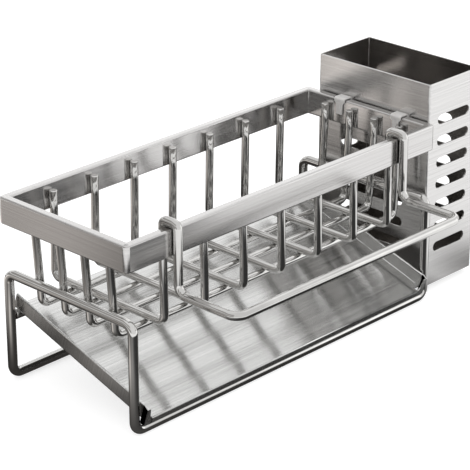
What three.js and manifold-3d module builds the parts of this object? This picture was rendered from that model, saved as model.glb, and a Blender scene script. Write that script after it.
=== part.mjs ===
import * as THREE from 'three';
import { mergeVertices } from 'three/addons/utils/BufferGeometryUtils.js';
import Module from 'manifold-3d';

const wasm = await Module();
wasm.setup();

// Kitchen sink organizer in stainless steel: a wire basket on a wire stand, with a sloping
// drip tray, a hook-on towel rail and a hook-on utensil holder. Millimetres, +Z up, long side
// along X, towel rail towards -Y, holder at the +X end.

// Gaps shared by all pieces
const weldGap = 0.1; // between two pieces that are welded together
const restGap = 0.3; // between a loose piece and the piece that carries it

// Basket rim: four flat tubes, mitred at the corners
const rimLength = 270;
const rimWidth = 108.4;
const rimTop = 120;
const rimHeight = 17;
const rimDepth = 5.6;
const rimWall = 0.8;
const rimCorner = 3;

// Basket wires: U-shaped, welded to the inside of the rim
const basketWire = 5;
const wireSink = 4.4; // from the rim's top edge down to the wire ends
const wireBend = 5; // centre-line radius at the foot of a wire
const kinkBend = 30; // centre-line radius where a wire starts to lean in
const crossCount = 7;
const crossPitch = 33;
const crossFloor = 59.4; // height of the cross wires' centre line at the basket floor
const crossFlare = 0.8; // how far a cross wire's foot stands out from its top
const longCount = 4;
const longPitch = 21;

// Stand: one closed loop of wire, and a bar across its back posts
const standWire = 6;
const standLength = 260;
const standDepth = 106;
const standTop = 70;
const standBend = 6;

// Drip tray: a sheet channel that slopes to the front, with a curled front edge
const traySheet = 0.8;
const trayWidth = 251.4;
const trayLength = 114;
const trayWallHeight = 10.2;
const trayWallNose = 3.6; // side walls in front of the curl's centre line
const traySlope = 18;
const curlRadius = 2.4;
const curlLength = 232;
const curlTurn = 230;

// Towel rail: one bent wire that hooks over the front of the rim
const railWire = 5.5;
const railSpan = 198;
const railShift = 1.1; // to the right of the rim's middle
const railHeight = 80.25;
const railReach = 48.8; // from the rim's front face to the front bar
const railLegBend = 6.5;
const railCornerBend = 7;
const hookTail = 3.4; // below the rim's top edge
const hookInside = 0.45; // inside radius of the hook's two bends

// Utensil holder: a slotted sheet box with a base, on two strap hooks
const holderSheet = 1;
const holderLength = 50.3;
const holderDepth = 93.6;
const holderHeight = 140;
const holderBottom = 4;
const holderCorner = 1.6;
const holderShift = -1.1; // along Y from the rim's middle
const slotRows = 7;
const leftSlotRows = 6; // the left wall is plain at the top, where the straps are welded
const slotPitch = 14.75;
const slotHeight = 6.5;
const slotLengthFront = 31.8;
const slotLengthSide = 54;
const drainCount = 3;
const drainPitch = 24;
const drainLength = 26;
const strapSheet = 1;
const strapWidth = 8.5;
const strapTongue = 5; // width of the inner leg
const strapSpan = 47.5;
const strapShift = -2; // along Y from the holder's middle
const strapInnerLeg = 10;
const strapOuterLeg = 15;

// Facets
const basketSides = 12;
const frameSides = 16;
const bendStep = Math.PI / 8;
const arcSegments = 6;
const joinTolerance = 1e-6;
const weldTolerance = 1e-4;
const overcut = 2; // how far a cutting solid runs past what it cuts

// Dimensions that follow from the ones above
const rimBottom = rimTop - rimHeight;
const rimInsideX = rimLength / 2 - rimDepth;
const rimInsideY = rimWidth / 2 - rimDepth;
const wireTop = rimTop - wireSink;
const wireInset = basketWire / 2 + weldGap;
const longFloor = crossFloor - basketWire - weldGap;
const standRadius = standWire / 2;
const holderLeft = rimLength / 2 + restGap + strapSheet + weldGap;
const slope = THREE.MathUtils.degToRad(traySlope);

// Finishes
const brushedFinish = { color: 0xb9b6b2, roughness: 0.34, metalness: 1 };
const sheetFinish = { color: 0xc9c8c6, roughness: 0.28, metalness: 1 };
const polishedFinish = { color: 0xd2d1cf, roughness: 0.12, metalness: 1 };

function v(x, y, z) {
  return new THREE.Vector3(x, y, z);
}

function direction(from, to) {
  return to.clone().sub(from).normalize();
}

// Centre line of a bent wire: straight runs between corners, each corner an arc
class BentWire extends THREE.Curve {
  constructor(corners, radii) {
    super();
    this.stations = [];
    const last = corners.length - 1;
    this.station(corners[0], direction(corners[0], corners[1]));
    for (let i = 1; i < last; i += 1) {
      this.bend(corners[i - 1], corners[i], corners[i + 1], radii[i - 1]);
    }
    this.station(corners[last], direction(corners[last - 1], corners[last]));
  }

  bend(before, corner, after, radius) {
    const into = direction(before, corner);
    const turn = into.angleTo(direction(corner, after));
    const axis = into.clone().cross(direction(corner, after)).normalize();
    const start = corner.clone().addScaledVector(into, -radius * Math.tan(turn / 2));
    const centre = start.clone().addScaledVector(axis.clone().cross(into), radius);
    const steps = Math.max(1, Math.ceil(turn / bendStep - joinTolerance));
    for (let i = 0; i <= steps; i += 1) {
      const angle = (turn * i) / steps;
      const spoke = start.clone().sub(centre).applyAxisAngle(axis, angle);
      this.station(spoke.add(centre), into.clone().applyAxisAngle(axis, angle));
    }
  }

  station(point, tangent) {
    const previous = this.stations[this.stations.length - 1];
    if (!previous || previous.point.distanceTo(point) > joinTolerance) {
      this.stations.push({ point, tangent });
    }
  }

  at(u) {
    return this.stations[Math.round(u * (this.stations.length - 1))];
  }

  getPointAt(u, target = new THREE.Vector3()) {
    return target.copy(this.at(u).point);
  }

  getTangentAt(u, target = new THREE.Vector3()) {
    return target.copy(this.at(u).tangent);
  }
}

// Regular polygon whose flats lie on the wire's diameter
function roundSection(diameter, sides) {
  const reach = diameter / 2 / Math.cos(Math.PI / sides);
  const points = [];
  for (let i = 0; i < sides; i += 1) {
    const angle = ((i + 0.5) * 2 * Math.PI) / sides;
    points.push(new THREE.Vector2(reach * Math.cos(angle), reach * Math.sin(angle)));
  }
  return new THREE.Shape(points);
}

function wireAlong(corners, radii, diameter, sides) {
  const path = new BentWire(corners, radii);
  return new THREE.ExtrudeGeometry(roundSection(diameter, sides), {
    steps: path.stations.length - 1,
    bevelEnabled: false,
    extrudePath: path,
  });
}

// A wire whose end meets its start: the end caps are left off and the seam is joined
function closedWire(corners, radii, diameter, sides) {
  const open = wireAlong(corners, radii, diameter, sides);
  const side = open.groups[1];
  const all = open.attributes.position.array;
  const kept = all.slice(side.start * 3, (side.start + side.count) * 3);
  const geometry = new THREE.BufferGeometry();
  geometry.setAttribute('position', new THREE.BufferAttribute(kept, 3));
  return geometry;
}

function welded(geometry) {
  const plain = geometry.clone();
  plain.deleteAttribute('normal');
  plain.deleteAttribute('uv');
  return mergeVertices(plain, weldTolerance);
}

function solid(geometry) {
  const merged = welded(geometry);
  return new wasm.Manifold(new wasm.Mesh({
    numProp: 3,
    vertProperties: new Float32Array(merged.attributes.position.array),
    triVerts: new Uint32Array(merged.index.array),
  }));
}

function geometryOf(body) {
  const mesh = body.getMesh();
  const geometry = new THREE.BufferGeometry();
  geometry.setAttribute('position', new THREE.BufferAttribute(Float32Array.from(mesh.vertProperties), 3));
  geometry.setIndex(new THREE.BufferAttribute(Uint32Array.from(mesh.triVerts), 1));
  return geometry;
}

function box(sizeX, sizeY, sizeZ, x, y, z) {
  return new THREE.BoxGeometry(sizeX, sizeY, sizeZ).translate(x, y, z);
}

function roundedRectangle(width, height, radius) {
  const shape = new THREE.Shape();
  const x = width / 2 - radius;
  const y = height / 2 - radius;
  shape.absarc(x, y, radius, 0, Math.PI / 2);
  shape.absarc(-x, y, radius, Math.PI / 2, Math.PI);
  shape.absarc(-x, -y, radius, Math.PI, Math.PI * 1.5);
  shape.absarc(x, -y, radius, Math.PI * 1.5, Math.PI * 2);
  return shape;
}

function rectangle(width, height) {
  return new THREE.Shape([
    new THREE.Vector2(-width / 2, -height / 2),
    new THREE.Vector2(width / 2, -height / 2),
    new THREE.Vector2(width / 2, height / 2),
    new THREE.Vector2(-width / 2, height / 2),
  ]);
}

function obround(length, height) {
  const shape = new THREE.Shape();
  const radius = height / 2;
  const x = length / 2 - radius;
  shape.absarc(x, 0, radius, -Math.PI / 2, Math.PI / 2);
  shape.absarc(-x, 0, radius, Math.PI / 2, Math.PI * 1.5);
  return shape;
}

function polygon(points) {
  return new THREE.Shape(points.map(([x, y]) => new THREE.Vector2(x, y)));
}

function prism(shape, depth) {
  return new THREE.ExtrudeGeometry(shape, { depth, bevelEnabled: false, curveSegments: arcSegments });
}

// A prism drawn in Y and Z, centred on X
function prismAlongX(shape, depth) {
  const turn = new THREE.Matrix4().makeBasis(v(0, 1, 0), v(0, 0, 1), v(1, 0, 0));
  return prism(shape, depth).translate(0, 0, -depth / 2).applyMatrix4(turn);
}

// A prism drawn in X and Z, centred on Y
function prismAlongY(shape, depth) {
  const turn = new THREE.Matrix4().makeBasis(v(1, 0, 0), v(0, 0, 1), v(0, -1, 0));
  return prism(shape, depth).translate(0, 0, -depth / 2).applyMatrix4(turn);
}

function mesh(name, geometry, finish) {
  const merged = welded(geometry);
  merged.computeVertexNormals();
  const part = new THREE.Mesh(merged, new THREE.MeshStandardMaterial(finish));
  part.name = name;
  return part;
}

// Rim tubes: a hollow ring cut on the mitre lines into four
function rimTubes() {
  const ring = roundedRectangle(rimLength, rimWidth, rimCorner);
  ring.holes.push(rectangle(2 * rimInsideX, 2 * rimInsideY));
  const bore = rectangle(rimLength - 2 * rimWall, rimWidth - 2 * rimWall);
  bore.holes.push(rectangle(2 * (rimInsideX + rimWall), 2 * (rimInsideY + rimWall)));
  const outside = solid(prism(ring, rimHeight).translate(0, 0, rimBottom));
  const inside = solid(prism(bore, rimHeight - 2 * rimWall).translate(0, 0, rimBottom + rimWall));
  const tube = outside.subtract(inside);
  const far = overcut;
  const near = -rimDepth - overcut;
  const joint = weldGap / Math.SQRT2;
  const wedge = (along, across, turn) => {
    const geometry = prism(polygon([
      [-(along / 2 + far) + joint, -(across / 2 + far)],
      [along / 2 + far - joint, -(across / 2 + far)],
      [along / 2 + near - joint, -(across / 2 + near)],
      [-(along / 2 + near) + joint, -(across / 2 + near)],
    ]), rimHeight + 2 * overcut);
    return solid(geometry.translate(0, 0, rimBottom - overcut).rotateZ(turn));
  };
  const side = (name, along, across, turn) =>
    mesh(name, geometryOf(tube.intersect(wedge(along, across, turn))), brushedFinish);
  return [
    side('rim_front', rimLength, rimWidth, 0),
    side('rim_right', rimWidth, rimLength, Math.PI / 2),
    side('rim_back', rimLength, rimWidth, Math.PI),
    side('rim_left', rimWidth, rimLength, -Math.PI / 2),
  ];
}

// Corners of a basket wire in its own plane: down one side, across the floor, up the other
function basketCorners(top, foot, floor, place) {
  const flat = [
    [-top, wireTop], [-top, rimBottom], [-foot, floor],
    [foot, floor], [top, rimBottom], [top, wireTop],
  ];
  return flat.map(([across, height]) => place(across, height));
}

const basketRadii = [kinkBend, wireBend, wireBend, kinkBend];

function crossWires() {
  const top = rimInsideY - wireInset;
  const wires = [];
  for (let i = 0; i < crossCount; i += 1) {
    const x = (i - (crossCount - 1) / 2) * crossPitch;
    const corners = basketCorners(top, top + crossFlare, crossFloor, (y, z) => v(x, y, z));
    const wire = wireAlong(corners, basketRadii, basketWire, basketSides);
    wires.push(mesh(`cross_wire_${i + 1}`, wire, polishedFinish));
  }
  return wires;
}

// The long wires lean so that they touch the stand's end bars
function longWires() {
  const top = rimInsideX - wireInset;
  const atBar = standLength / 2 - standRadius - wireInset;
  const lean = ((top - atBar) * (rimBottom - longFloor)) / (rimBottom - standTop);
  const wires = [];
  for (let i = 0; i < longCount; i += 1) {
    const y = (i - (longCount - 1) / 2) * longPitch;
    const corners = basketCorners(top, top - lean, longFloor, (x, z) => v(x, y, z));
    const wire = wireAlong(corners, basketRadii, basketWire, basketSides);
    wires.push(mesh(`long_wire_${i + 1}`, wire, polishedFinish));
  }
  return wires;
}

// Stand loop: front bar, right post, right bar, back post, back bar and the same on the left
function standLoop() {
  const x = standLength / 2;
  const y = standDepth / 2;
  const low = standRadius;
  const corners = [
    v(0, y, low), v(-x, y, low), v(-x, y, standTop), v(-x, -y, standTop), v(-x, -y, low),
    v(x, -y, low), v(x, -y, standTop), v(x, y, standTop), v(x, y, low), v(0, y, low),
  ];
  const radii = corners.slice(2).map(() => standBend);
  return mesh('stand_loop', closedWire(corners, radii, standWire, frameSides), polishedFinish);
}

// The tray's curl rests on the stand's front bar
const trayY = -standDepth / 2;
const trayZ = standWire + restGap + curlRadius;
const trayUnder = curlRadius - traySheet;

// Back crossbar: just under the tray's floor
function backBar() {
  const drop = trayUnder - standRadius - restGap;
  const along = (standDepth / 2 - trayY + drop * Math.sin(slope)) / Math.cos(slope);
  const height = trayZ + along * Math.sin(slope) + drop * Math.cos(slope);
  const end = standLength / 2 - standRadius - weldGap;
  const corners = [v(-end, standDepth / 2, height), v(end, standDepth / 2, height)];
  return mesh('back_crossbar', wireAlong(corners, [], standWire, frameSides), polishedFinish);
}

// Floor of the tray in the tray's own frame: a sheet along Y with its front edge curled about the X axis
function trayFloor() {
  const width = trayWidth - 2 * (traySheet + weldGap);
  const floor = box(width, trayLength, traySheet, 0, trayLength / 2, trayUnder + traySheet / 2);
  const start = Math.PI / 2;
  const end = start + THREE.MathUtils.degToRad(curlTurn);
  const curl = new THREE.Shape();
  curl.moveTo(traySheet, trayUnder);
  curl.lineTo(traySheet, curlRadius);
  curl.absarc(0, 0, curlRadius, start, end, false);
  curl.absarc(0, 0, trayUnder, end, start, true);
  const body = solid(floor).add(solid(prismAlongX(curl, curlLength)));
  return mesh('drip_tray', geometryOf(body), sheetFinish);
}

// Side wall of the tray, upright beside the floor's edge
function trayWall(name, side) {
  const length = trayLength + trayWallNose;
  const x = side * (trayWidth - traySheet) / 2;
  const y = (trayLength - trayWallNose) / 2;
  const z = trayUnder + trayWallHeight / 2;
  return mesh(name, box(traySheet, length, trayWallHeight, x, y, z), sheetFinish);
}

function dripTray() {
  const tray = new THREE.Group();
  tray.add(trayFloor(), trayWall('tray_wall_left', -1), trayWall('tray_wall_right', 1));
  tray.position.set(0, trayY, trayZ);
  tray.rotation.x = slope;
  return tray;
}

function towelRail() {
  const front = -rimWidth / 2;
  const offset = restGap + railWire / 2;
  const outer = front - offset;
  const inner = front + rimDepth + offset;
  const hookBend = railWire / 2 + hookInside;
  const hookTop = rimTop + offset;
  const bar = front - railReach;
  const left = railShift - railSpan / 2;
  const right = railShift + railSpan / 2;
  const corners = [
    v(left, inner, rimTop - hookTail), v(left, inner, hookTop), v(left, outer, hookTop),
    v(left, outer, railHeight), v(left, bar, railHeight),
    v(right, bar, railHeight), v(right, outer, railHeight),
    v(right, outer, hookTop), v(right, inner, hookTop), v(right, inner, rimTop - hookTail),
  ];
  const half = [hookBend, hookBend, railLegBend, railCornerBend];
  const radii = [...half, ...half.toReversed()];
  return mesh('towel_rail', wireAlong(corners, radii, railWire, frameSides), polishedFinish);
}

const holderX = holderLeft + holderLength / 2;
const holderMiddle = holderBottom + holderHeight / 2;

function holderBody() {
  const ring = roundedRectangle(holderLength, holderDepth, holderCorner);
  const insideLength = holderLength - 2 * holderSheet;
  const insideDepth = holderDepth - 2 * holderSheet;
  ring.holes.push(roundedRectangle(insideLength, insideDepth, holderCorner - holderSheet));
  let body = solid(prism(ring, holderHeight).translate(holderX, holderShift, holderBottom));
  for (let i = 0; i < slotRows; i += 1) {
    const z = holderMiddle + (i - (slotRows - 1) / 2) * slotPitch;
    const right = holderLength / 2 + overcut;
    const left = i < leftSlotRows ? right : 0;
    const front = prismAlongY(obround(slotLengthFront, slotHeight), holderDepth + 2 * overcut);
    const side = prismAlongX(obround(slotLengthSide, slotHeight), left + right);
    body = body.subtract(solid(front.translate(holderX, holderShift, z)));
    body = body.subtract(solid(side.translate(holderX + (right - left) / 2, holderShift, z)));
  }
  return mesh('holder_body', geometryOf(body), sheetFinish);
}

function holderBase() {
  const inset = holderSheet + weldGap;
  const corner = holderCorner - holderSheet;
  const plate = roundedRectangle(holderLength - 2 * inset, holderDepth - 2 * inset, corner);
  for (let i = 0; i < drainCount; i += 1) {
    const points = obround(drainLength, slotHeight).getPoints(arcSegments);
    const y = (i - (drainCount - 1) / 2) * drainPitch;
    plate.holes.push(new THREE.Path(points.map((p) => p.clone().add(new THREE.Vector2(0, y)))));
  }
  const geometry = prism(plate, holderSheet).translate(holderX, holderShift, holderBottom);
  return mesh('holder_base', geometry, sheetFinish);
}

// Strap hooks: over the rim's right end, with the outer leg welded to the holder
function strapHook(name, y) {
  const outerOut = rimLength / 2 + restGap + strapSheet;
  const outerIn = rimLength / 2 + restGap;
  const innerIn = rimInsideX - restGap;
  const innerOut = innerIn - strapSheet;
  const under = rimTop + restGap;
  const over = under + strapSheet;
  const strip = polygon([
    [outerOut, rimTop - strapOuterLeg], [outerOut, over],
    [innerOut, over], [innerOut, under],
    [outerIn, under], [outerIn, rimTop - strapOuterLeg],
  ]);
  const tongue = polygon([
    [innerIn, rimTop - strapInnerLeg], [innerIn, over],
    [innerOut, over], [innerOut, rimTop - strapInnerLeg],
  ]);
  const wide = solid(prismAlongY(strip, strapWidth).translate(0, y, 0));
  const narrow = solid(prismAlongY(tongue, strapTongue).translate(0, y, 0));
  return mesh(name, geometryOf(wide.add(narrow)), sheetFinish);
}

const organizer = new THREE.Group();
organizer.name = 'kitchen_sink_organizer';
organizer.add(...rimTubes(), ...crossWires(), ...longWires());
organizer.add(standLoop(), backBar(), dripTray(), towelRail());
organizer.add(holderBody(), holderBase());
const strapMiddle = holderShift + strapShift;
organizer.add(strapHook('holder_strap_front', strapMiddle - strapSpan / 2));
organizer.add(strapHook('holder_strap_back', strapMiddle + strapSpan / 2));

// The frame's origin is the middle of the base of the whole object's bounding box
const extent = new THREE.Box3().setFromObject(organizer, true);
const middle = extent.getCenter(new THREE.Vector3());
organizer.position.set(-middle.x, -middle.y, -extent.min.z);

export default organizer;
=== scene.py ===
import math

import bpy
import numpy as np
from mathutils import Matrix, Vector


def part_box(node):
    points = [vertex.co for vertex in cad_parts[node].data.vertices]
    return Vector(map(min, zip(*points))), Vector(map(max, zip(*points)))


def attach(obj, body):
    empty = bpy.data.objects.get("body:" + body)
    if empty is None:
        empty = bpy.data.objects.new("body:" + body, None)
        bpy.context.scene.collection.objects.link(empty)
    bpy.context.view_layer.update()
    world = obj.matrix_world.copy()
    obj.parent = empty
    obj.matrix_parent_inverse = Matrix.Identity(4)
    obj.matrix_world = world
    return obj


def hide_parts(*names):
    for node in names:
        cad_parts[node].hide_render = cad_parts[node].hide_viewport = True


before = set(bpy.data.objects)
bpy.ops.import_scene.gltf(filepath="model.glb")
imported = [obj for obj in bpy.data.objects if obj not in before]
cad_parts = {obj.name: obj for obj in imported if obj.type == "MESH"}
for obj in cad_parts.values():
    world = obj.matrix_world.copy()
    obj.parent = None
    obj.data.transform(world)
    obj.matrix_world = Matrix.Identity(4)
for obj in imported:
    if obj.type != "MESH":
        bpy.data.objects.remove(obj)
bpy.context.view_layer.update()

# The drawing is in millimetres from the middle of the basket rim; place() takes it to the frame
basketMiddle = np.array([
    (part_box("rim_left")[0].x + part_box("rim_right")[1].x) / 2,
    (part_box("rim_front")[0].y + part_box("rim_back")[1].y) / 2,
    0.0,
])


def place(points):
    return np.asarray(points, float) / 1000 + basketMiddle


def unit(vector):
    return vector / np.linalg.norm(vector, axis=-1, keepdims=True)


# Turns a vector about an axis through a list of angles: v cos + (a x v) sin + a (a.v)(1 - cos)
def spin(vector, axis, angles):
    c, s = np.cos(angles)[:, None], np.sin(angles)[:, None]
    return vector * c + np.cross(axis, vector) * s + axis * (axis @ vector) * (1 - c)


# Centre line of a bent wire: straight runs, and at each corner an arc that also turns the section's axes
def bendPath(corners, radii, stepDegrees=6.0):
    corners = np.asarray(corners, float)
    heading = unit(corners[1] - corners[0])
    side = unit(np.cross(heading, np.eye(3)[np.argmin(np.abs(heading))]))
    up = np.cross(heading, side)
    centres, sides, ups = [corners[:1]], [side[None]], [up[None]]
    for before, corner, after, radius in zip(corners, corners[1:], corners[2:], radii):
        into, out = unit(corner - before), unit(after - corner)
        turn = math.acos(np.clip(into @ out, -1, 1))
        axis = unit(np.cross(into, out))
        start = corner - into * radius * math.tan(turn / 2)
        hub = start + np.cross(axis, into) * radius
        angles = np.linspace(0, turn, max(3, math.ceil(math.degrees(turn) / stepDegrees) + 1))
        centres.append(hub + spin(start - hub, axis, angles))
        sides.append(spin(sides[-1][-1], axis, angles))
        ups.append(spin(ups[-1][-1], axis, angles))
    centres.append(corners[-1:])
    sides.append(sides[-1][-1:])
    ups.append(ups[-1][-1:])
    return np.concatenate(centres), np.concatenate(sides), np.concatenate(ups)


def circleSection(diameter, count=32):
    angle = np.arange(count) * 2 * np.pi / count
    return np.stack([np.cos(angle), np.sin(angle)], -1) * diameter / 2


def arcPoints(x, y, radius, startDegrees, endDegrees, count=7):
    angle = np.radians(np.linspace(startDegrees, endDegrees, count))
    return np.stack([x + radius * np.cos(angle), y + radius * np.sin(angle)], -1)


def roundedSection(width, height, radius, count=5):
    x, y = width / 2 - radius, height / 2 - radius
    return np.concatenate([
        arcPoints(x, y, radius, 0, 90, count), arcPoints(-x, y, radius, 90, 180, count),
        arcPoints(-x, -y, radius, 180, 270, count), arcPoints(x, -y, radius, 270, 360, count),
    ])


# Quads of a grid of rows by columns; either way round may close on itself
def gridFaces(rows, columns, closeRows=False, closeColumns=True, first=0):
    i = np.arange(rows if closeRows else rows - 1)[:, None]
    j = np.arange(columns if closeColumns else columns - 1)[None]
    k, l = (i + 1) % rows, (j + 1) % columns
    quads = np.stack([i * columns + j, i * columns + l, k * columns + l, k * columns + j], -1)
    return quads.reshape(-1, 4) + first


# Section carried along a path: centre + side * x + up * y. A bevel draws the ends in before the flat cap
def sweep(path, section, closed=False, bevel=0.0):
    centres, sides, ups = path
    scale = np.ones(len(centres))
    if not closed and bevel > 0:
        reach = np.abs(section).max()
        ahead, behind = unit(centres[1] - centres[0]), unit(centres[-2] - centres[-1])
        steps = np.array([0.0, 0.3, 1.0])  # a rounded bevel, as shares of its width
        slide, shrink = steps * bevel, 1 - steps[::-1] * bevel / reach
        centres = np.concatenate([centres[0] + slide[:, None] * ahead, centres[1:-1],
                                  (centres[-1] + slide[:, None] * behind)[::-1]])
        start, end = [sides[:1]] * len(steps), [sides[-1:]] * len(steps)
        sides = np.concatenate([*start, sides[1:-1], *end])
        start, end = [ups[:1]] * len(steps), [ups[-1:]] * len(steps)
        ups = np.concatenate([*start, ups[1:-1], *end])
        scale = np.concatenate([shrink, scale[1:-1], shrink[::-1]])
    flat = section[None] * scale[:, None, None]
    points = centres[:, None] + flat[..., :1] * sides[:, None] + flat[..., 1:] * ups[:, None]
    rows, columns = points.shape[:2]
    faces = gridFaces(rows, columns, closeRows=closed).tolist()
    smooth = [True] * len(faces)
    if not closed:
        faces.append(list(range(columns))[::-1])
        faces.append(list(range((rows - 1) * columns, rows * columns)))
        smooth += [False, False]
    loops = gridMap(runLength(centres, closed), runLength(section, True), caps=0 if closed else 2)
    return points.reshape(-1, 3), faces, smooth, loops


# Map coordinates for each face corner of a grid: along its rows and round its columns. Flat caps stay at
# one point
def gridMap(along, around, caps=0):
    rows, columns = len(along) - 1, len(around) - 1
    i, j = np.repeat(np.arange(rows), columns), np.tile(np.arange(columns), rows)
    u = np.stack([along[i], along[i], along[i + 1], along[i + 1]], -1)
    w = np.stack([around[j], around[j + 1], around[j + 1], around[j]], -1)
    return np.concatenate([np.stack([u, w], -1).reshape(-1, 2), np.zeros((caps * columns, 2))])


# Distance from the first point of a line of points to each of them, with the way back to the start if closed
def runLength(points, closed=False):
    if closed:
        points = np.concatenate([points, points[:1]])
    return np.concatenate([[0], np.cumsum(np.linalg.norm(np.diff(points, axis=0), axis=1))])


# Joins parts into one mesh in the frame, with its map, and names its body, CAD nodes and finish
def makePiece(name, parts, material, body, nodes):
    points, faces, smooth, loops, start = [], [], [], [], 0
    for part in parts:
        points.append(part[0])
        faces += [[k + start for k in face] for face in part[1]]
        smooth += list(part[2])
        loops.append(part[3])
        start += len(part[0])
    mesh = bpy.data.meshes.new(name)
    mesh.from_pydata(place(np.concatenate(points)).tolist(), [], faces)
    mesh.polygons.foreach_set("use_smooth", np.array(smooth, bool))
    # the map is in metres, its first coordinate along the wire or along the brush lines
    flatMap = (np.concatenate(loops) / 1000).ravel().astype(np.float32)
    mesh.uv_layers.new(name="along").uv.foreach_set("vector", flatMap)
    mesh.materials.append(material)
    piece = bpy.data.objects.new(name, mesh)
    bpy.context.scene.collection.objects.link(piece)
    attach(piece, body)
    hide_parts(*nodes)
    return piece


# sRGB hex to the linear values that Blender's sockets take
def linear(hexColour):
    srgb = np.array([int(hexColour[k:k + 2], 16) for k in (1, 3, 5)]) / 255
    value = np.where(srgb <= 0.04045, srgb / 12.92, ((srgb + 0.055) / 1.055) ** 2.4)
    return (*value.tolist(), 1.0)


# Adds a node: settings go to its sockets or properties, links join sockets of earlier nodes
def addNode(tree, kind, settings=None, links=None):
    node = tree.nodes.new(kind)
    for key, value in (settings or {}).items():
        if isinstance(key, int) or key in node.inputs:
            node.inputs[key].default_value = value
        else:
            setattr(node, key, value)
    for key, source in (links or {}).items():
        tree.links.new(source, node.inputs[key])
    return node


def startMaterial(name):
    material = bpy.data.materials.new(name)
    material.use_nodes = True
    material.node_tree.nodes.clear()
    return material, material.node_tree


# Shared by the steels: the part of the noise that the tones and roughness span, and the relief in metres
pattern = {"toneSpread": 0.22, "noiseLow": 0.3, "noiseHigh": 0.7, "wipeHigh": 0.75,
           "scratchDepth": 0.0002, "drawDepth": 0.00005}


# Stainless steel sheet or tube, brushed on a belt: long fine scratches that blur reflections across them
def brushedSteel(name, look):
    material, tree = startMaterial(name)
    coords = addNode(tree, "ShaderNodeTexCoord")
    scratchMap = addNode(tree, "ShaderNodeMapping", {"Scale": look["scratchScale"]},
                         {"Vector": coords.outputs["UV"]})
    scratch = addNode(tree, "ShaderNodeTexNoise", {"Scale": 1.0, "Detail": 4.0, "Roughness": 0.65},
                      {"Vector": scratchMap.outputs[0]})
    bandMap = addNode(tree, "ShaderNodeMapping", {"Scale": look["bandScale"]},
                      {"Vector": coords.outputs["UV"]})
    band = addNode(tree, "ShaderNodeTexNoise", {"Scale": 1.0, "Detail": 2.0, "Roughness": 0.5},
                   {"Vector": bandMap.outputs[0]})
    mixed = addNode(tree, "ShaderNodeMath", {"operation": "MULTIPLY_ADD", 1: look["bandShare"]},
                    {0: band.outputs["Fac"], 2: scratch.outputs["Fac"]})
    tone = addNode(tree, "ShaderNodeValToRGB", {}, {"Fac": mixed.outputs[0]})
    middle = 0.5 + 0.5 * look["bandShare"]
    tone.color_ramp.elements[0].position = middle - pattern["toneSpread"]
    tone.color_ramp.elements[1].position = middle + pattern["toneSpread"]
    tone.color_ramp.elements[0].color = linear(look["dark"])
    tone.color_ramp.elements[1].color = linear(look["light"])
    rough = addNode(tree, "ShaderNodeMapRange",
                    {"From Min": pattern["noiseLow"], "From Max": pattern["noiseHigh"],
                     "To Min": look["rough"][0], "To Max": look["rough"][1]},
                    {"Value": scratch.outputs["Fac"]})
    bump = addNode(tree, "ShaderNodeBump", {"Strength": look["bump"], "Distance": pattern["scratchDepth"]},
                   {"Height": scratch.outputs["Fac"]})
    lines = addNode(tree, "ShaderNodeTangent", {"direction_type": "UV_MAP", "uv_map": "along"})
    # a quarter turn sets the wide blur square to the brush lines
    steel = addNode(tree, "ShaderNodeBsdfPrincipled",
                    {"Metallic": 1.0, "Anisotropic": look["blur"], "Anisotropic Rotation": 0.25},
                    {"Base Color": tone.outputs["Color"], "Roughness": rough.outputs[0],
                     "Normal": bump.outputs[0], "Tangent": lines.outputs[0]})
    addNode(tree, "ShaderNodeOutputMaterial", {}, {"Surface": steel.outputs[0]})
    return material


# Drawn stainless wire, polished after welding: nearly a mirror, with faint draw marks along its length
def polishedSteel(name, look):
    material, tree = startMaterial(name)
    coords = addNode(tree, "ShaderNodeTexCoord")
    drawMap = addNode(tree, "ShaderNodeMapping", {"Scale": look["drawScale"]},
                      {"Vector": coords.outputs["UV"]})
    draw = addNode(tree, "ShaderNodeTexNoise", {"Scale": 1.0, "Detail": 3.0, "Roughness": 0.6},
                   {"Vector": drawMap.outputs[0]})
    wipe = addNode(tree, "ShaderNodeTexNoise", {"Scale": look["wipeScale"], "Detail": 3.0},
                   {"Vector": coords.outputs["Object"]})
    tone = addNode(tree, "ShaderNodeValToRGB", {}, {"Fac": wipe.outputs["Fac"]})
    tone.color_ramp.elements[0].position = pattern["noiseLow"]
    tone.color_ramp.elements[1].position = pattern["wipeHigh"]
    tone.color_ramp.elements[0].color = linear(look["dark"])
    tone.color_ramp.elements[1].color = linear(look["light"])
    rough = addNode(tree, "ShaderNodeMapRange",
                    {"From Min": pattern["noiseLow"], "From Max": pattern["noiseHigh"],
                     "To Min": look["rough"][0], "To Max": look["rough"][1]},
                    {"Value": draw.outputs["Fac"]})
    bump = addNode(tree, "ShaderNodeBump", {"Strength": look["bump"], "Distance": pattern["drawDepth"]},
                   {"Height": draw.outputs["Fac"]})
    steel = addNode(tree, "ShaderNodeBsdfPrincipled", {"Metallic": 1.0},
                    {"Base Color": tone.outputs["Color"], "Roughness": rough.outputs[0],
                     "Normal": bump.outputs[0]})
    addNode(tree, "ShaderNodeOutputMaterial", {}, {"Surface": steel.outputs[0]})
    return material


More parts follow.
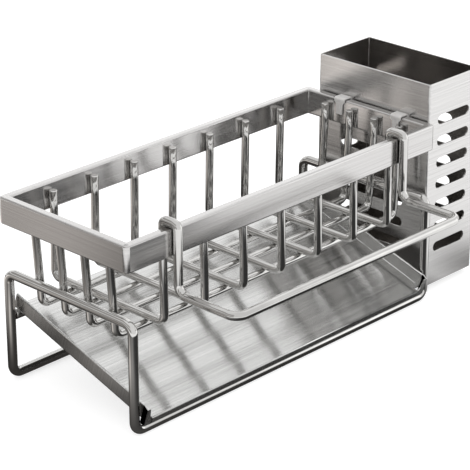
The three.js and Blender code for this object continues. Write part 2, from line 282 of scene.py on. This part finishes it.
# Scales are repeats in a metre, along and across the lines. Real brush and draw lines are about 0.1 mm
# apart, too fine to show, so they are drawn at about 1 mm
wireSteel = polishedSteel("drawn_stainless_wire_polished", {
    "dark": "#bfbebc", "light": "#d3d2d0", "rough": (0.05, 0.10), "bump": 0.03,
    "drawScale": (12, 1500, 1), "wipeScale": 45,
})
tubeSteel = brushedSteel("flat_stainless_tube_brushed", {
    "dark": "#bab8b7", "light": "#d2d1d0", "rough": (0.13, 0.18), "blur": 0.75, "bump": 0.03,
    "scratchScale": (7, 1000, 1), "bandScale": (2, 260, 1), "bandShare": 0.15,
})
traySteel = brushedSteel("stainless_sheet_brushed_lengthwise", {
    "dark": "#c0c0bf", "light": "#e1e1e0", "rough": (0.17, 0.21), "blur": 0.95, "bump": 0.03,
    "scratchScale": (7, 900, 1), "bandScale": (2, 220, 1), "bandShare": 0.15,
})
holderSteel = brushedSteel("stainless_sheet_brushed_level", {
    "dark": "#c0bfbe", "light": "#dad9d8", "rough": (0.20, 0.26), "blur": 0.75, "bump": 0.03,
    "scratchScale": (7, 1000, 1), "bandScale": (2, 220, 1), "bandShare": 0.15,
})
# The side turned in and the base take a darker, greyer copy of the sheet steel: painted shade inside the
# holder
shadedInsideSteel = brushedSteel("stainless_sheet_painted_inside_shade", {
    "dark": "#9e9b98", "light": "#b0adaa", "rough": (0.18, 0.24), "blur": 0.6, "bump": 0.02,
    "scratchScale": (7, 1000, 1), "bandScale": (2, 220, 1), "bandShare": 0.15,
})
# Tumbled strip: matt, with hardly a reflection. Its near-white colour, paler than steel, is painted light
# for the brightness the straps catch
strapSteel = brushedSteel("stainless_strip_satin_painted_light", {
    "dark": "#efeeed", "light": "#f8f7f6", "rough": (0.85, 0.95), "blur": 0.0, "bump": 0.05,
    "scratchScale": (30, 1250, 1), "bandScale": (20, 220, 1), "bandShare": 0.3,
})
print("materials ready")

# Basket rim: a flat tube with small rounded edges. For a point d outside the tube's middle the plan is a
# rounded rectangle with half sides a + d and b + d and corner radius rho(d)
rim = {"length": 270.0, "width": 108.4, "top": 120.0, "height": 17.0, "depth": 5.6,
       "corner": 3.0, "insideCorner": 0.5, "edge": 1.1, "cornerSteps": 9}


def rimSurface():
    # taken backwards, so that the faces point outwards
    section = roundedSection(rim["depth"], rim["height"], rim["edge"])[::-1]
    d, z = section[:, 0], section[:, 1] + rim["top"] - rim["height"] / 2
    rho = np.maximum(rim["insideCorner"], rim["corner"] - rim["depth"] / 2 + d)
    a = rim["length"] / 2 - rim["depth"] / 2 + d - rho
    b = rim["width"] / 2 - rim["depth"] / 2 + d - rho
    quarter = np.linspace(0, np.pi / 2, rim["cornerSteps"])
    angle = np.concatenate([quarter + k * np.pi / 2 for k in range(4)])
    signX = np.repeat([1, -1, -1, 1], rim["cornerSteps"])
    signY = np.repeat([1, 1, -1, -1], rim["cornerSteps"])
    x = signX[:, None] * a + np.cos(angle)[:, None] * rho
    y = signY[:, None] * b + np.sin(angle)[:, None] * rho
    points = np.stack([x, y, np.broadcast_to(z, x.shape)], -1)
    rows, columns = x.shape
    # the long flat stretches are shaded flat, the edges and corners smooth
    longRows = np.arange(rows) % rim["cornerSteps"] == rim["cornerSteps"] - 1
    flatColumns = np.diff(runLength(section, True)) > rim["edge"]
    smooth = ~(longRows[:, None] & flatColumns[None])
    middleLine = np.stack([x.mean(1), y.mean(1)], -1)
    faces = gridFaces(rows, columns, closeRows=True).tolist()
    loops = gridMap(runLength(middleLine, True), runLength(section, True))
    return points.reshape(-1, 3), faces, smooth.ravel().tolist(), loops


makePiece("basketRim", [rimSurface()], tubeSteel, "rack",
          ["rim_front", "rim_right", "rim_back", "rim_left"])
print("rim done")

# Basket wires: down inside the rim, across the floor and up again, ends cut flat with a small bevel
basket = {"wire": 5.0, "top": 115.6, "bend": 5.0, "kink": 30.0, "weldGap": 0.1, "bevel": 0.45,
          "crossCount": 7, "crossPitch": 33.0, "crossFloor": 59.4, "crossFlare": 0.8,
          "longCount": 4, "longPitch": 21.0}
stand = {"wire": 6.0, "length": 260.0, "depth": 106.0, "top": 70.0, "bend": 6.0, "sides": 40, "seam": 0.5,
         "barBevel": 0.3}
rimBottom = rim["top"] - rim["height"]
wireInset = basket["wire"] / 2 + basket["weldGap"]
crossTop = rim["width"] / 2 - rim["depth"] - wireInset
crossFoot = crossTop + basket["crossFlare"]
longTop = rim["length"] / 2 - rim["depth"] - wireInset
longAtBar = stand["length"] / 2 - stand["wire"] / 2 - wireInset
longFloor = basket["crossFloor"] - basket["wire"] - basket["weldGap"]
longFoot = longTop - (longTop - longAtBar) * (rimBottom - longFloor) / (rimBottom - stand["top"])


# One U of wire along an axis: straight inside the rim, leaning to its foot, flat across the floor
def basketWire(top, foot, floor, axis, offset):
    flat = np.array([[-top, basket["top"]], [-top, rimBottom], [-foot, floor],
                     [foot, floor], [top, rimBottom], [top, basket["top"]]])
    corners = np.zeros((6, 3))
    corners[:, axis], corners[:, 1 - axis], corners[:, 2] = flat[:, 0], offset, flat[:, 1]
    radii = [basket["kink"], basket["bend"], basket["bend"], basket["kink"]]
    return sweep(bendPath(corners, radii), circleSection(basket["wire"]), bevel=basket["bevel"])


crossX = (np.arange(basket["crossCount"]) - (basket["crossCount"] - 1) / 2) * basket["crossPitch"]
longY = (np.arange(basket["longCount"]) - (basket["longCount"] - 1) / 2) * basket["longPitch"]
for number, x in enumerate(crossX, 1):
    makePiece(f"crossWire{number}", [basketWire(crossTop, crossFoot, basket["crossFloor"], 1, x)],
              wireSteel, "rack", [f"cross_wire_{number}"])
for number, y in enumerate(longY, 1):
    makePiece(f"longWire{number}", [basketWire(longTop, longFoot, longFloor, 0, y)],
              wireSteel, "rack", [f"long_wire_{number}"])
print("basket wires done")


# Stand: one closed loop, and the bar across its back posts that the tray leans on
def standLoop():
    x, y, low, high = stand["length"] / 2, stand["depth"] / 2, stand["wire"] / 2, stand["top"]
    corners = [(0, y, low), (-x, y, low), (-x, y, high), (-x, -y, high), (-x, -y, low),
               (x, -y, low), (x, -y, high), (x, y, high), (x, y, low), (stand["seam"], y, low)]
    section = circleSection(stand["wire"], stand["sides"])
    return sweep(bendPath(corners, [stand["bend"]] * (len(corners) - 2)), section, closed=True)


makePiece("standLoop", [standLoop()], wireSteel, "rack", ["stand_loop"])

# Drip tray: the sheet and its slope, the front edge and the corner tabs. It slides on the stand's front bar
tray = {"sheet": 0.8, "width": 251.4, "length": 114.0, "wall": 10.2, "nose": 3.6, "slope": 18.0,
        "curl": 2.4, "fold": 0.6, "restGap": 0.3, "hem": 0.8, "hemDrop": 3.0,
        "bendSteps": 9, "insideSteps": 5,
        "edgeLength": 239.8, "edgeReach": 3.9, "edgeBend": 1.0, "edgeUnder": 2.2, "edgeTail": 0.5,
        "noseDrop": 1.5, "tabDrop": 1.6, "tabTop": 2.6, "tabMiddle": 3.9, "tabGap": 0.2}
slope = math.radians(tray["slope"])
trayOrigin = np.array([0, -stand["depth"] / 2, stand["wire"] + tray["restGap"] + tray["curl"]])
trayUnder = tray["curl"] - tray["sheet"]
# the crossbar lies just under the tray's floor, in line with the back posts
barDrop = trayUnder - stand["wire"] / 2 - tray["restGap"]
barAlong = (stand["depth"] / 2 - trayOrigin[1] + barDrop * math.sin(slope)) / math.cos(slope)
barHeight = trayOrigin[2] + barAlong * math.sin(slope) + barDrop * math.cos(slope)
barEnd = stand["length"] / 2 - stand["wire"] / 2 - basket["weldGap"]
barPath = bendPath([(-barEnd, stand["depth"] / 2, barHeight), (barEnd, stand["depth"] / 2, barHeight)], [])
barSection = circleSection(stand["wire"], stand["sides"])
makePiece("backCrossbar", [sweep(barPath, barSection, bevel=stand["barBevel"])],
          wireSteel, "rack", ["back_crossbar"])
print("stand done")


# A closed outline in two axes drawn along the third from start to end, with flat ends. The brush lines run
# round the outline, or along the third axis. Faces narrower than bendStep belong to a bend and are smooth
def drawOut(outline, start, end, axes, linesAlong=False, bendStep=0.6):
    count = len(outline)
    points = np.zeros((2, count, 3))
    points[..., axes[0]], points[..., axes[1]] = outline[:, 0], outline[:, 1]
    points[0, :, axes[2]], points[1, :, axes[2]] = start, end
    faces = gridFaces(2, count).tolist() + [list(range(count))[::-1], list(range(count, 2 * count))]
    around = runLength(outline, True)
    smooth = (np.diff(around) < bendStep).tolist() + [False, False]
    loops = gridMap(np.array([start, end], float), around, caps=2)
    return points.reshape(-1, 3), faces, smooth, loops if linesAlong else loops[:, ::-1]


# Tray in its own frame: X across, Y up the slope, Z off the floor; then turned by the slope about X
def inTray(part):
    x, u, w = part[0].T
    y = u * math.cos(slope) - w * math.sin(slope)
    z = u * math.sin(slope) + w * math.cos(slope)
    return (np.stack([x, y, z], -1) + trayOrigin, *part[1:])


# Tray: a channel section drawn up the slope, then its front edge drawn across and the corners beside it
def trayParts():
    half, s, fold = tray["width"] / 2, tray["sheet"], tray["fold"]
    low, high = trayUnder, trayUnder + tray["wall"]
    outer, hem = fold + s, tray["hem"]
    steps, fewer = tray["bendSteps"], tray["insideSteps"]
    # the walls' top edges are hemmed to the inside
    right = np.concatenate([
        arcPoints(half - outer, low + outer, outer, -90, 0, steps),
        arcPoints(half - hem, high - hem, hem, 0, 180, steps),
        [[half - 2 * hem, high - tray["hemDrop"]], [half - s, high - tray["hemDrop"]]],
        arcPoints(half - outer, low + outer, fold, 0, -90, steps),
    ])
    channel = np.concatenate([right, right[::-1] * [-1, 1]])
    # the front edge turns down and back under in two small bends, with a flat face between them
    bend, top, under = tray["edgeBend"], tray["curl"], tray["edgeUnder"]
    front, upper, lower, tail = bend - tray["edgeReach"], top - bend, bend - under, tray["edgeTail"]
    edge = np.concatenate([
        [[0, top]],
        arcPoints(front, upper, bend, 90, 180, steps), arcPoints(front, lower, bend, 180, 270, steps),
        [[tail, -under], [tail, s - under]],
        arcPoints(front, lower, bend - s, 270, 180, fewer),
        arcPoints(front, upper, bend - s, 180, 90, fewer),
        [[0, low]],
    ])
    # each side wall ends in a cheek with a lowered corner; a tab turned in from it closes the edge's end
    nose, drop, cheekTop = tray["nose"], tray["tabDrop"], high - tray["noseDrop"]
    cheek = np.array([[-nose, -drop], [0, -drop], [0, high], [-nose, cheekTop]])
    tabEnd = -tray["edgeLength"] / 2 - tray["tabGap"]
    tab = np.array([[-half, -drop], [-half, cheekTop], [tray["tabTop"] - half, cheekTop],
                    [tray["tabMiddle"] - half, top + tray["tabDrop"]], [tabEnd, top], [tabEnd, -drop]])
    parts = [
        drawOut(channel[::-1], 0, tray["length"], (0, 2, 1)),
        drawOut(edge, -tray["edgeLength"] / 2, tray["edgeLength"] / 2, (1, 2, 0), True),
        drawOut(cheek, -half, s - half, (1, 2, 0)),
        drawOut(cheek, half - s, half, (1, 2, 0)),
        drawOut(tab, -nose, s - nose, (0, 2, 1)),
        drawOut(tab[::-1] * [-1, 1], -nose, s - nose, (0, 2, 1)),
    ]
    return [inTray(part) for part in parts]


makePiece("dripTray", trayParts(), traySteel, "tray", ["drip_tray", "tray_wall_left", "tray_wall_right"])
print("tray done")

# Towel rail: hook, leg, arm, front bar and the same back, in one wire
rail = {"wire": 5.5, "span": 198.0, "shift": 1.1, "height": 80.25, "reach": 48.8, "legBend": 6.5,
        "cornerBend": 7.0, "tail": 3.4, "hookInside": 0.45, "restGap": 0.3, "bevel": 0.6, "sides": 40}


def towelRail():
    front, offset = -rim["width"] / 2, rail["restGap"] + rail["wire"] / 2
    outer, inner = front - offset, front + rim["depth"] + offset
    hook = rail["wire"] / 2 + rail["hookInside"]
    top, end = rim["top"] + offset, rim["top"] - rail["tail"]
    left, right = rail["shift"] - rail["span"] / 2, rail["shift"] + rail["span"] / 2
    bar, height = front - rail["reach"], rail["height"]
    half = np.array([[inner, end], [inner, top], [outer, top], [outer, height], [bar, height]])
    corners = np.concatenate([np.insert(half, 0, left, 1), np.insert(half[::-1], 0, right, 1)])
    bends = [hook, hook, rail["legBend"], rail["cornerBend"]]
    section = circleSection(rail["wire"], rail["sides"])
    return sweep(bendPath(corners, bends + bends[::-1]), section, bevel=rail["bevel"])


makePiece("towelRail", [towelRail()], wireSteel, "rail", ["towel_rail"])
print("towel rail done")

# Utensil holder: four slotted walls and rounded folds, given the sheet's thickness by Solidify
holder = {"sheet": 1.0, "length": 50.3, "depth": 93.6, "height": 140.0, "bottom": 4.0, "shift": -1.1,
          "corner": 1.6, "cornerSteps": 9, "edgeBevel": 0.15, "bevelSegments": 2, "bevelAngle": 50.0,
          "rows": 7, "leftRows": 6, "pitch": 14.75, "slotHeight": 6.5, "slotFront": 31.8, "slotSide": 54.0,
          "arcSteps": 8, "edgeSteps": 9,
          "baseInset": 1.1, "drainRows": 3, "drainPitch": 24.0, "drainLength": 26.0}
strap = {"sheet": 1.0, "width": 8.5, "tongue": 5.0, "span": 47.5, "shift": -2.0, "innerLeg": 10.0,
         "outerLeg": 15.0, "bend": 1.1, "neck": 0.12, "shoulder": 0.3, "edge": 0.25, "edgeSteps": 3,
         "bevel": 0.15}
holderLeft = rim["length"] / 2 + rail["restGap"] + strap["sheet"] + basket["weldGap"]
holderMiddle = np.array([
    holderLeft + holder["length"] / 2, holder["shift"], holder["bottom"] + holder["height"] / 2,
])


# One cell round a slot: quads between the obround outline and the cell's rectangle, matched point by point
def slotCell(halfWidth, halfHeight, slotLength, slotHeight):
    r, c, k, n = slotHeight / 2, slotLength / 2 - slotHeight / 2, holder["arcSteps"], holder["edgeSteps"]
    slotRight = arcPoints(c, 0, r, -45, 45, 2 * k + 1)
    straight = np.stack([np.linspace(c, -c, n + 2)[1:-1], np.full(n, r)], -1)
    slotTop = np.concatenate([
        arcPoints(c, 0, r, 45, 90, k + 1), straight, arcPoints(-c, 0, r, 90, 135, k + 1),
    ])
    sideZ = np.linspace(-halfHeight, halfHeight, 2 * k + 1)
    rectRight = np.stack([np.full(2 * k + 1, halfWidth), sideZ], -1)
    count = len(slotTop)
    rectTop = np.stack([np.linspace(halfWidth, -halfWidth, count), np.full(count, halfHeight)], -1)
    slot = np.concatenate([slotRight[:-1], slotTop[:-1], -slotRight[:-1], -slotTop[:-1]])
    rect = np.concatenate([rectRight[:-1], rectTop[:-1], -rectRight[:-1], -rectTop[:-1]])
    return slot, rect, rectTop[::-1, 0], sideZ


# Flat panel: slot cells stacked at a pitch, with a plain band below and above, and plain bands for the rows
# above the slotted ones. Gives patches of points and quads, and the heights of the points on its side edges
def slottedPanel(halfWidth, halfHeight, rows, pitch, slotLength, slotHeight, slotted=None):
    slot, rect, edgeX, edgeZ = slotCell(halfWidth, pitch / 2, slotLength, slotHeight)
    middles = (np.arange(rows) - (rows - 1) / 2) * pitch
    i = np.arange(len(slot))
    j = (i + 1) % len(slot)
    ring = np.stack([i, i + len(slot), j + len(slot), j], -1)
    slotted = rows if slotted is None else slotted
    patches = [(np.concatenate([slot, rect]) + [0, middle], ring) for middle in middles[:slotted]]
    reach = rows * pitch / 2
    bands = [np.array([-halfHeight, -reach]), np.array([reach, halfHeight])]
    bands += [middle + edgeZ for middle in middles[slotted:]]
    for band in bands:
        flat = np.stack(np.meshgrid(edgeX, band), -1).reshape(-1, 2)
        patches.append((flat, gridFaces(len(band), len(edgeX), closeColumns=False)))
    levels = np.concatenate([[-halfHeight], (middles[:, None] + edgeZ[:-1]).ravel(), [reach, halfHeight]])
    return patches, levels


# Patches joined into one part: points that fall together become one, the map keeps each patch's own
def joinPatches(patches, middle):
    counts = np.cumsum([0] + [len(points) for points, *_ in patches])
    quads = np.concatenate([faces + first for (_, faces, *_), first in zip(patches, counts)])
    smooth = np.concatenate([np.full(len(faces), soft) for _, faces, _, soft in patches])
    loops = np.concatenate([flat for _, _, flat, _ in patches])[quads.ravel()]
    points = np.round(np.concatenate([points for points, *_ in patches]), decimals=5)
    merged, index = np.unique(points, axis=0, return_inverse=True)
    return merged + middle, index.ravel()[quads].tolist(), smooth.tolist(), loops


# The box: four panels set square to each other, each followed by a quarter-round fold to the next
def holderWalls():
    r, top = holder["corner"], holder["height"] / 2
    halfX, halfY = holder["length"] / 2 - r, holder["depth"] / 2 - r
    rows, leftRows = holder["rows"], holder["leftRows"]
    walls = [((1, 0), halfX, halfY + r, holder["slotFront"], rows),
             ((0, 1), halfY, halfX + r, holder["slotSide"], rows),
             ((-1, 0), halfX, halfY + r, holder["slotFront"], rows),
             ((0, -1), halfY, halfX + r, holder["slotSide"], leftRows)]
    joined = []
    for (ax, ay), half, out, slotLength, slotted in walls:
        alongWall, outward = np.array([ax, ay, 0.0]), np.array([ay, -ax, 0.0])
        patches, levels = slottedPanel(half, top, rows, holder["pitch"], slotLength, holder["slotHeight"],
                                       slotted)
        for flat, quads in patches:
            points = flat[:, :1] * alongWall + outward * out + flat[:, 1:] * [0, 0, 1.0]
            joined.append((points, quads, flat, False))
        # the fold at the wall's far end turns a quarter circle to the next wall
        theta = np.linspace(0, np.pi / 2, holder["cornerSteps"])
        turned = np.cos(theta)[:, None] * outward + np.sin(theta)[:, None] * alongWall
        arc = alongWall * half + outward * (out - r) + r * turned
        fold = np.repeat(arc[None], len(levels), 0)
        fold[..., 2] = levels[:, None]
        flat = np.stack(np.meshgrid(half + r * theta, levels), -1).reshape(-1, 2)
        quads = gridFaces(len(levels), len(theta), closeColumns=False)
        joined.append((fold.reshape(-1, 3), quads, flat, True))
    return joinPatches(joined, holderMiddle)


# The base: a panel of the same kind, laid flat
def holderBase():
    halfX, halfY = holder["length"] / 2 - holder["baseInset"], holder["depth"] / 2 - holder["baseInset"]
    patches, _ = slottedPanel(halfX, halfY, holder["drainRows"], holder["drainPitch"], holder["drainLength"],
                              holder["slotHeight"])
    level = [holderMiddle[0], holderMiddle[1], holder["bottom"] + holder["sheet"]]
    flatPatches = [(np.insert(flat, 2, 0.0, 1), quads, flat, False) for flat, quads in patches]
    return joinPatches(flatPatches, level)


# the holder's base and the walls' inner side take the darker steel, painted shade inside the holder
for name, part, node, steel in (("holderBody", holderWalls(), "holder_body", holderSteel),
                                ("holderBase", holderBase(), "holder_base", shadedInsideSteel)):
    piece = makePiece(name, [part], steel, "holder", [node])
    thickness = piece.modifiers.new("sheet", "SOLIDIFY")
    thickness.thickness, thickness.offset, thickness.use_even_offset = holder["sheet"] / 1000, -1, True
    # the side that Solidify adds takes the second material, the darker steel that paints the shade inside
    # the holder
    piece.data.materials.append(shadedInsideSteel)
    thickness.material_offset = 1
    edges = piece.modifiers.new("edges", "BEVEL")
    edges.width, edges.segments = holder["edgeBevel"] / 1000, holder["bevelSegments"]
    edges.limit_method, edges.angle_limit = "ANGLE", math.radians(holder["bevelAngle"])


# Strap hook: a flat strip bent over the rim's right end, its outer leg against the holder's wall and its
# inner leg drawn in to a narrower tongue
def strapHook(y):
    outer = rim["length"] / 2 + rail["restGap"] + strap["sheet"] / 2
    inner = rim["length"] / 2 - rim["depth"] - rail["restGap"] - strap["sheet"] / 2
    over = rim["top"] + rail["restGap"] + strap["sheet"] / 2
    corners = [(outer, y, rim["top"] - strap["outerLeg"]), (outer, y, over), (inner, y, over),
               (inner, y, rim["top"] - strap["innerLeg"])]
    bent = bendPath(corners, [strap["bend"]] * 2)[0]
    tip, lastRun = bent[-1], bent[-1] - bent[-2]
    neck, shoulder = bent[-2] + lastRun * strap["neck"], bent[-2] + lastRun * strap["shoulder"]
    centres = np.concatenate([bent[:-1], [neck, shoulder, tip]])
    heading = unit(np.gradient(centres, axis=0))
    wide = np.tile([0.0, 1.0, 0.0], (len(centres), 1))
    wide[-2:] *= strap["tongue"] / strap["width"]
    section = roundedSection(strap["sheet"], strap["width"], strap["edge"], strap["edgeSteps"])
    return sweep((centres, unit(np.cross(wide, heading)), wide), section, bevel=strap["bevel"])


for label, y in (("Front", -strap["span"] / 2), ("Back", strap["span"] / 2)):
    makePiece(f"holderStrap{label}", [strapHook(y + holder["shift"] + strap["shift"])], strapSteel, "holder",
              [f"holder_strap_{label.lower()}"])
print("holder done")

# Camera: where the photograph was taken from, a long lens from the front left and above
camera = {"azimuth": 46.24, "elevation": 23.19, "position": (-868.55, -839.59, 587.11),
          "lens": 163.3, "sensor": 36.0, "clipEnd": 50.0}
az, el = math.radians(camera["azimuth"]), math.radians(camera["elevation"])
ahead = Vector((math.sin(az) * math.cos(el), math.cos(az) * math.cos(el), -math.sin(el)))
cameraData = bpy.data.cameras.new("camera")
cameraData.lens, cameraData.sensor_width = camera["lens"], camera["sensor"]
cameraData.clip_end = camera["clipEnd"]
cameraObject = bpy.data.objects.new("camera", cameraData)
bpy.context.scene.collection.objects.link(cameraObject)
cameraObject.matrix_world = Matrix.Translation(Vector(place([camera["position"]])[0])) @ \
    ahead.to_track_quat("-Z", "Y").to_matrix().to_4x4()
bpy.context.scene.camera = cameraObject

# Studio, in metres: white surroundings and floor, three large softboxes, and the cards that a photographer
# sets round shiny steel so that it shows its form. Only mirror rays meet the cards
studio = {"world": 1.0, "floorGlow": 0.72, "floorColour": "#bdbdbd", "floorReach": 6.0}
softboxes = {
    "softboxBack": {"azimuth": 45.0, "elevation": 20.0, "distance": 1.7,
                    "size": (1.9, 1.1), "radiance": 0.4},
    "softboxRight": {"azimuth": -32.0, "elevation": 9.0, "distance": 1.5,
                     "size": (0.9, 1.0), "radiance": 0.6},
    "softboxTop": {"azimuth": 22.0, "elevation": 52.0, "distance": 1.7,
                   "size": (1.3, 1.0), "radiance": 0.25},
}
scene = bpy.context.scene
scene.view_settings.view_transform = "Standard"
world = bpy.data.worlds.new("white_surroundings")
scene.world = world
world.use_nodes = True
world.node_tree.nodes.clear()
glow = addNode(world.node_tree, "ShaderNodeBackground", {"Color": (1, 1, 1, 1), "Strength": studio["world"]})
addNode(world.node_tree, "ShaderNodeOutputWorld", {}, {"Surface": glow.outputs[0]})


def addStage(name, points, faces, material):
    mesh = bpy.data.meshes.new(name)
    mesh.from_pydata(np.asarray(points, float).tolist(), [], np.asarray(faces).tolist())
    mesh.materials.append(material)
    sheet = bpy.data.objects.new(name, mesh)
    scene.collection.objects.link(sheet)
    return sheet


# A point at a distance from the origin, by the angle round from +X and the angle up
def aim(azimuth, elevation, distance):
    a, e = math.radians(azimuth), math.radians(elevation)
    return Vector((math.cos(a) * math.cos(e), math.sin(a) * math.cos(e), math.sin(e))) * distance


# Matt white floor: a steady glow keeps it white to the camera and in mirrors, and the diffuse part takes the
# shadow
floorMaterial, tree = startMaterial("matt_white_floor")
path = addNode(tree, "ShaderNodeLightPath")
seen = addNode(tree, "ShaderNodeMath", {"operation": "ADD"},
               {0: path.outputs["Is Camera Ray"], 1: path.outputs["Is Glossy Ray"]})
seenToo = addNode(tree, "ShaderNodeMath", {"operation": "ADD", "use_clamp": True},
                  {0: seen.outputs[0], 1: path.outputs["Is Transmission Ray"]})
strength = addNode(tree, "ShaderNodeMath", {"operation": "MULTIPLY", 1: studio["floorGlow"]},
                   {0: seenToo.outputs[0]})
floorGlow = addNode(tree, "ShaderNodeEmission", {"Color": (1, 1, 1, 1)}, {"Strength": strength.outputs[0]})
matt = addNode(tree, "ShaderNodeBsdfDiffuse", {"Color": linear(studio["floorColour"])})
both = addNode(tree, "ShaderNodeAddShader", {}, {0: floorGlow.outputs[0], 1: matt.outputs[0]})
addNode(tree, "ShaderNodeOutputMaterial", {}, {"Surface": both.outputs[0]})
reach = studio["floorReach"]
addStage("floor", [(-reach, -reach, 0), (reach, -reach, 0), (reach, reach, 0), (-reach, reach, 0)],
         [(0, 1, 2, 3)], floorMaterial)


# Dark card lying round the object. An edge is a point on it and the way onto the card; a ramp is its
# strength, start and length; the others are a strength, a middle and a spread
darkCard = {
    "size": 1.6, "steps": 161, "lift": 0.0001, "softEdge": 0.07, "tone": 0.05,
    "frontEdge": ((0.0, -0.275), (0.0, 1.0)), "backEdge": ((0.0, 0.60), (0.0, -1.0)),
    "leftEdge": ((-0.31, -0.13), (0.775, 0.634)), "rightEdge": ((0.1013, -0.208), (-0.984, 0.180072)),
    "holderEdge": ((0.13, -0.02), (0.2425, 0.97)), "footPatch": (0.85, (0.18, -0.035), (0.03, 0.02)),
    "leftRamp": (0.11, 0.22, 0.12), "rightRamp": (0.24, 0.14, 0.14), "backRamp": (0.20, 0.35, 0.15),
    "spots": [(0.30, (-0.241, -0.070), 0.045), (0.80, (-0.235, 0.030), 0.028)],
    "streakRamp": (1.0, 0.3, 0.1), "streaks": [(0.40, -0.075, 0.040), (1.20, 0.060, 0.045)],
    "redRamp": (0.06, -0.15, 0.2), "blueRamp": (-0.05, -0.15, 0.2),
}


# A soft step across a straight line, 0 off the card and 1 on it
def edgeStep(x, y, point, onto):
    t = np.clip(((x - point[0]) * onto[0] + (y - point[1]) * onto[1]) / darkCard["softEdge"] + 0.5, 0, 1)
    return t * t * (3 - 2 * t)


# Rises in a straight line from none at the start to full strength a length further on
def ramp(value, strength, start, length):
    return strength * np.clip((value - start) / length, 0, 1)


# A bell curve, 1 in its middle
def hump(value, spread):
    return np.exp(-(value / spread) ** 2 / 2)


# The card shows inside all its edges, where the one at the holder goes round behind the right one
line = np.linspace(-darkCard["size"] / 2, darkCard["size"] / 2, darkCard["steps"])
x, y = (values.ravel() for values in np.meshgrid(line, line))
cover = np.maximum(edgeStep(x, y, *darkCard["rightEdge"]), edgeStep(x, y, *darkCard["holderEdge"]))
for edgeName in ("frontEdge", "leftEdge", "backEdge"):
    cover = cover * edgeStep(x, y, *darkCard[edgeName])
# a small dark patch by the holder's foot
strength, (middleX, middleY), (spreadX, spreadY) = darkCard["footPatch"]
cover = np.maximum(cover, strength * hump(x - middleX, spreadX) * hump(y - middleY, spreadY))
# lighter towards three sides, with two pale spots by the left post and two pale streaks behind on the left
tone = darkCard["tone"] + ramp(-x, *darkCard["leftRamp"]) + ramp(x, *darkCard["rightRamp"])
tone = tone + ramp(y, *darkCard["backRamp"])
for strength, (middleX, middleY), spread in darkCard["spots"]:
    tone = tone + strength * hump(x - middleX, spread) * hump(y - middleY, spread)
slant, behind = (x + y) / math.sqrt(2), ramp(y - x, *darkCard["streakRamp"])
for strength, middle, spread in darkCard["streaks"]:
    tone = tone + behind * strength * hump(slant - middle, spread)
# slightly warm towards the back
red, blue = tone * (1 + ramp(y, *darkCard["redRamp"])), tone * (1 + ramp(y, *darkCard["blueRamp"]))
cardMaterial, tree = startMaterial("black_card")
shade = addNode(tree, "ShaderNodeVertexColor", {"layer_name": "card"})
dark = addNode(tree, "ShaderNodeEmission", {"Strength": 1.0}, {"Color": shade.outputs["Color"]})
clear = addNode(tree, "ShaderNodeBsdfTransparent")
covered = addNode(tree, "ShaderNodeMixShader", {},
                  {0: shade.outputs["Alpha"], 1: clear.outputs[0], 2: dark.outputs[0]})
addNode(tree, "ShaderNodeOutputMaterial", {}, {"Surface": covered.outputs[0]})
blackSheet = addStage("blackCard", np.stack([x, y, np.full_like(x, darkCard["lift"])], -1),
                      gridFaces(darkCard["steps"], darkCard["steps"], closeColumns=False), cardMaterial)
colours = blackSheet.data.color_attributes.new("card", "FLOAT_COLOR", "POINT")
colours.data.foreach_set("color", np.stack([red, tone, blue, cover], -1).ravel().astype(np.float32))

# Grey card: two bands, one above the other, bent in an arc behind on the left. They keep that side of the
# steel below white
greyCard = {"strength": 0.42, "colour": (1.0, 0.97, 0.94, 1.0), "distance": 1.3,
            "start": 97.0, "end": 207.0, "steps": 20, "levels": (0.0, 0.45, 0.66, 1.35)}
greyMaterial, tree = startMaterial("grey_card")
grey = addNode(tree, "ShaderNodeEmission", {"Color": greyCard["colour"], "Strength": greyCard["strength"]})
addNode(tree, "ShaderNodeOutputMaterial", {}, {"Surface": grey.outputs[0]})
arc = arcPoints(0, 0, greyCard["distance"], greyCard["start"], greyCard["end"], greyCard["steps"])
upright = np.concatenate([np.insert(arc, 2, level, 1) for level in greyCard["levels"]])
band = gridFaces(2, len(arc), closeColumns=False)
greySheet = addStage("greyCard", upright, np.concatenate([band, band + 2 * len(arc)]), greyMaterial)

# Black strip: hangs between the two softboxes behind, and draws a dark line along the wires
blackStrip = {"strength": 0.04, "distance": 4.0, "start": 32.0, "end": 72.0, "steps": 9,
              "levels": (29.0, 37.0)}
stripMaterial, tree = startMaterial("black_strip")
black = addNode(tree, "ShaderNodeEmission", {"Color": (1, 1, 1, 1), "Strength": blackStrip["strength"]})
addNode(tree, "ShaderNodeOutputMaterial", {}, {"Surface": black.outputs[0]})
turns = np.linspace(blackStrip["start"], blackStrip["end"], blackStrip["steps"])
strip = [aim(turn, level, blackStrip["distance"]) for level in blackStrip["levels"] for turn in turns]
stripSheet = addStage("blackStrip", strip, gridFaces(2, len(turns), closeColumns=False), stripMaterial)
for sheet in (blackSheet, greySheet, stripSheet):
    sheet.visible_camera = sheet.visible_diffuse = sheet.visible_shadow = sheet.visible_transmission = False

# An area lamp of power P and area A shines with radiance P / (pi A)
for name, box in softboxes.items():
    lampData = bpy.data.lights.new(name, "AREA")
    lampData.shape, lampData.size, lampData.size_y = "RECTANGLE", *box["size"]
    lampData.energy = box["radiance"] * math.pi * box["size"][0] * box["size"][1]
    lamp = bpy.data.objects.new(name, lampData)
    lamp.location = aim(box["azimuth"], box["elevation"], box["distance"])
    lamp.rotation_euler = (-lamp.location).to_track_quat("-Z", "Y").to_euler()
    lamp.visible_camera = False
    scene.collection.objects.link(lamp)
print("studio done")
